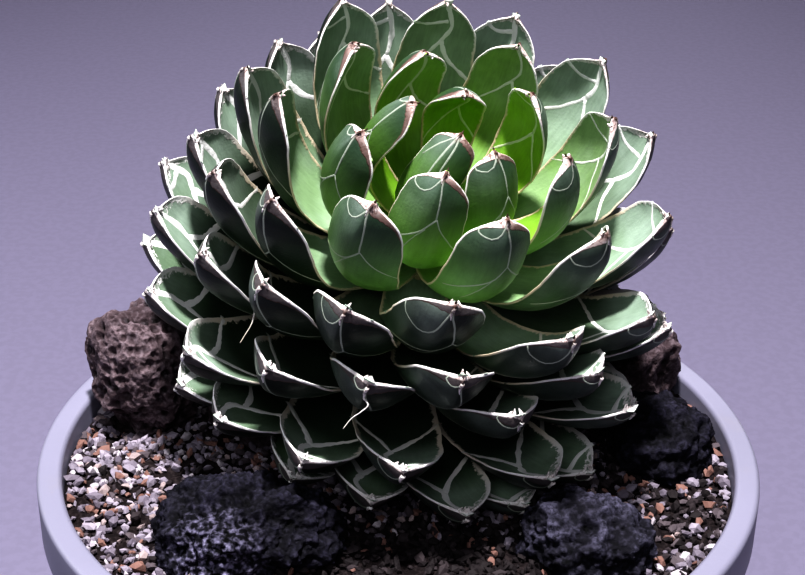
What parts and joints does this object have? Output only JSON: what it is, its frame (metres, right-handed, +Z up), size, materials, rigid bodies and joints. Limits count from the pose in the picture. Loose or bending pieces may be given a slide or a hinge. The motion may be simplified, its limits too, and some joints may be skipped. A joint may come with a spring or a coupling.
{
  "type": "potted queen victoria agave",
  "caption": "Compact agave rosette with white-edged, keeled leaves, leaning in a round pot of grit with rough lava stones.",
  "frame": {"origin": "centre of the pot's underside, on the surface that it stands on", "axes": "+Z up, -Y towards the front, the side that the picture shows, +X to the right seen from the front"},
  "size_m": [0.31, 0.31, 0.3754],
  "materials": {
    "pot": "pale lilac-grey, smooth, half matt",
    "soil": "loose mineral grit of mixed cream, terracotta, grey and dark grains, dry",
    "stone_brown": "brown porous lava, rough",
    "stone_black": "black-blue porous lava, rough",
    "stem": "dry fibrous bark of old leaf bases",
    "heart": "fresh green fleshy leaves, half matt wax, white horny margins",
    "leaf": "dark green fleshy leaves, half matt wax, white horny margins and keel lines"
  },
  "bodies": {
    "root": {"heart": "heart", "leaf_39": "leaf", "leaf_40": "leaf", "leaf_41": "leaf", "leaf_42": "leaf", "leaf_43": "leaf", "leaf_44": "leaf", "leaf_45": "leaf", "leaf_46": "leaf", "leaf_47": "leaf", "leaf_48": "leaf", "leaf_49": "leaf", "leaf_50": "leaf", "leaf_51": "leaf", "leaf_52": "leaf", "leaf_53": "leaf", "leaf_54": "leaf", "leaf_55": "leaf", "leaf_56": "leaf", "leaf_57": "leaf", "leaf_58": "leaf", "leaf_59": "leaf", "leaf_60": "leaf", "leaf_61": "leaf", "leaf_62": "leaf", "leaf_63": "leaf", "leaf_64": "leaf", "leaf_65": "leaf", "leaf_66": "leaf", "leaf_67": "leaf", "leaf_68": "leaf", "leaf_69": "leaf", "leaf_70": "leaf", "leaf_71": "leaf", "leaf_72": "leaf", "leaf_73": "leaf", "leaf_74": "leaf", "leaf_75": "leaf", "leaf_76": "leaf", "leaf_77": "leaf", "leaf_78": "leaf", "leaf_79": "leaf", "leaf_80": "leaf", "leaf_81": "leaf", "leaf_82": "leaf", "leaf_85": "leaf", "leaf_87": "leaf", "leaf_90": "leaf", "leaf_93": "leaf", "leaf_95": "leaf", "leaf_98": "leaf", "pot": "pot", "soil": "soil", "stem": "stem", "stone_back_right": "stone_brown", "stone_front_left": "stone_black", "stone_front_right": "stone_black", "stone_low_left": "stone_brown", "stone_right": "stone_black", "stone_tall_left": "stone_brown"}
  },
  "joints": []
}
